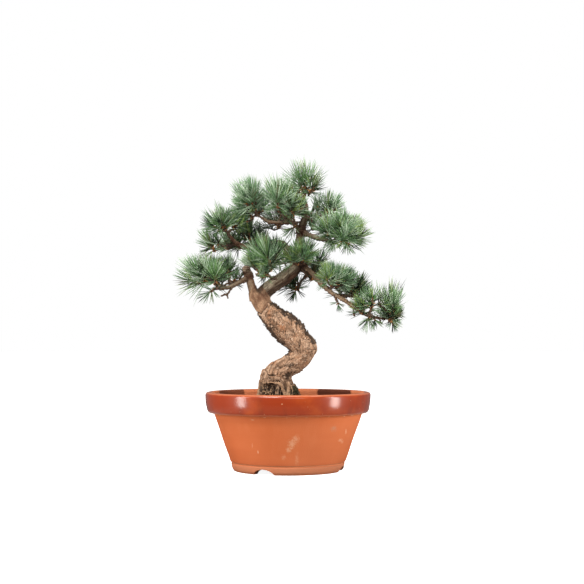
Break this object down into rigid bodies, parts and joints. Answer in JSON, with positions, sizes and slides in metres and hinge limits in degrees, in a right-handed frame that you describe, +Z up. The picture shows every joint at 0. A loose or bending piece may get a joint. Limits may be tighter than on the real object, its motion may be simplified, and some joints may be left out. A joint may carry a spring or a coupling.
{
  "type": "japanese white pine bonsai in a clay pot",
  "caption": "Potted conifer bonsai: a twisting tapered trunk, spreading boughs and tufts of needles over a round clay training pot with a glazed rim band and a notched foot.",
  "frame": {"origin": "the centre of the pot's underside, on the surface that the pot stands on", "axes": "+Z up along the height of the plant, +X to the right of the front view, +Y to the back; the front looks along -Y"},
  "size_m": [0.331, 0.24, 0.4564],
  "materials": {
    "pot_clay": "matte",
    "soil": "matte",
    "bark": "matte",
    "needles": "satin"
  },
  "bodies": {
    "root": {"pot": "pot_clay", "soil": "soil", "trunk": "bark", "left_limb": "bark", "leader": "bark", "upper_leader": "bark", "low_left_bough": "bark", "mid_left_bough": "bark", "upper_left_bough": "bark", "upper_right_bough": "bark", "right_bough": "bark", "low_back_bough": "bark", "upper_back_bough": "bark", "low_left_mass": "needles", "low_left_inner_mass": "needles", "low_left_back_mass": "needles", "mid_left_mass": "needles", "mid_left_low_mass": "needles", "mid_back_mass": "needles", "upper_left_mass": "needles", "upper_mid_mass": "needles", "top_mass": "needles", "upper_right_back_mass": "needles", "right_mass": "needles", "right_back_mass": "needles", "upper_back_mass": "needles", "low_back_mass": "needles", "centre_left_mass": "needles", "centre_right_mass": "needles", "right_inner_mass": "needles", "right_under_mass": "needles", "right_low_back_mass": "needles", "right_outer_mass": "needles", "right_tip_mass": "needles", "hanging_mass": "needles"}
  },
  "joints": []
}
